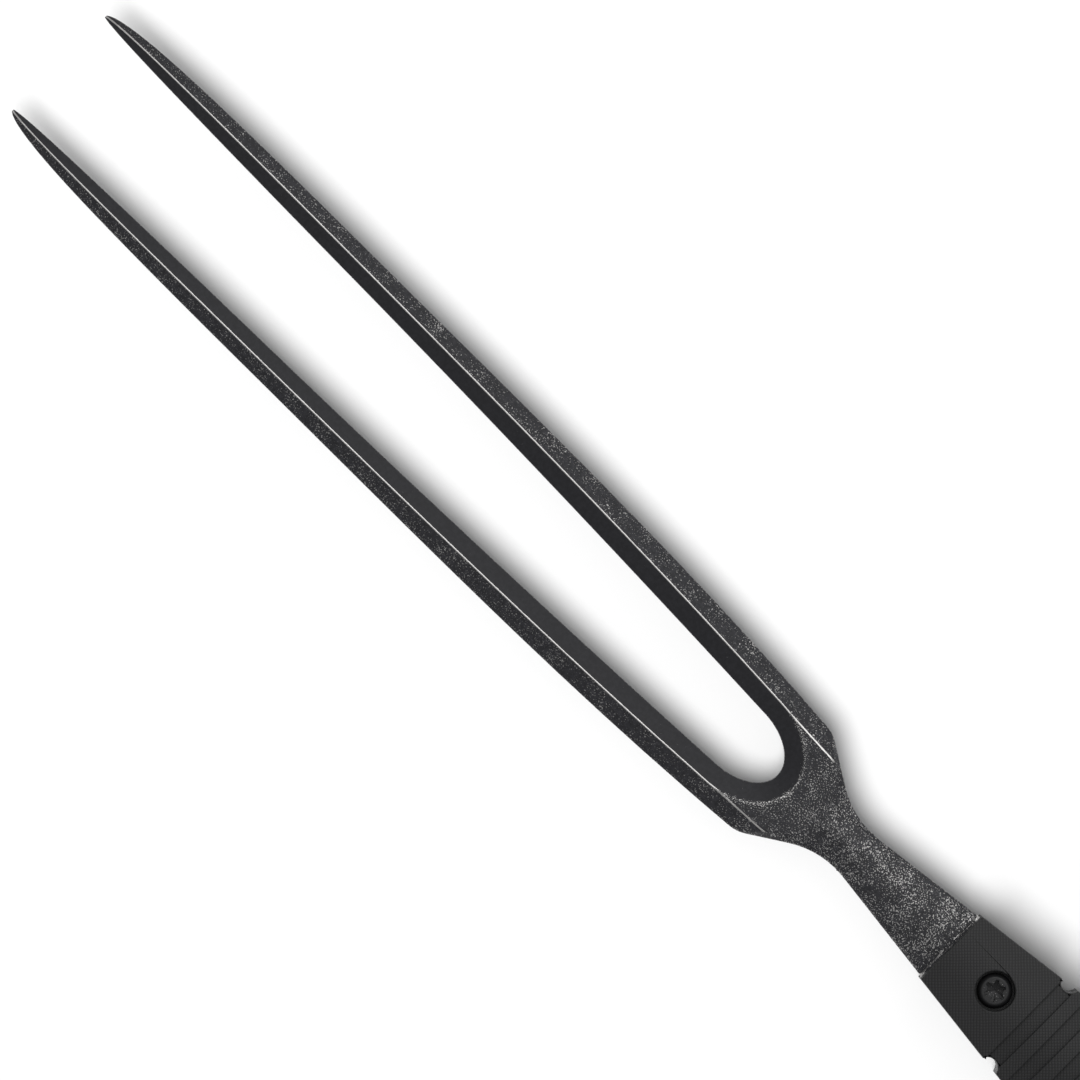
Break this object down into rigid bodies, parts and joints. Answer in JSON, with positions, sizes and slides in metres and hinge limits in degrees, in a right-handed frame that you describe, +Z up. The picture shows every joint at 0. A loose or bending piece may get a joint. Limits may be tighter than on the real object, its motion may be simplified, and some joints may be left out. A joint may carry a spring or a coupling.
{
  "type": "carving fork",
  "caption": "Long two-tined carving fork of black plate steel, with screwed-on grooved handle slabs and a lined hanging hole.",
  "frame": {"origin": "under the middle of the fork, on the surface that its handle lies on", "axes": "+X along the fork towards the points, +Y across it, +Z up through its thickness"},
  "size_m": [0.354, 0.0312, 0.016],
  "materials": {
    "blackened_steel": "black oxide, tumbled, with light specks and bright worn edges",
    "black_laminate": "fine diagonal weave, matte",
    "black_fastener": "black oxide, satin",
    "bare_steel": "turned, bright"
  },
  "bodies": {
    "root": {"fork_blank": "blackened_steel", "scale_upper": "black_laminate", "scale_lower": "black_laminate", "sleeve_front": "bare_steel", "sleeve_middle": "bare_steel", "sleeve_rear": "bare_steel", "screw_front_upper": "black_fastener", "screw_front_lower": "black_fastener", "screw_middle_upper": "black_fastener", "screw_middle_lower": "black_fastener", "screw_rear_upper": "black_fastener", "screw_rear_lower": "black_fastener", "lanyard_tube": "black_fastener"}
  },
  "joints": []
}
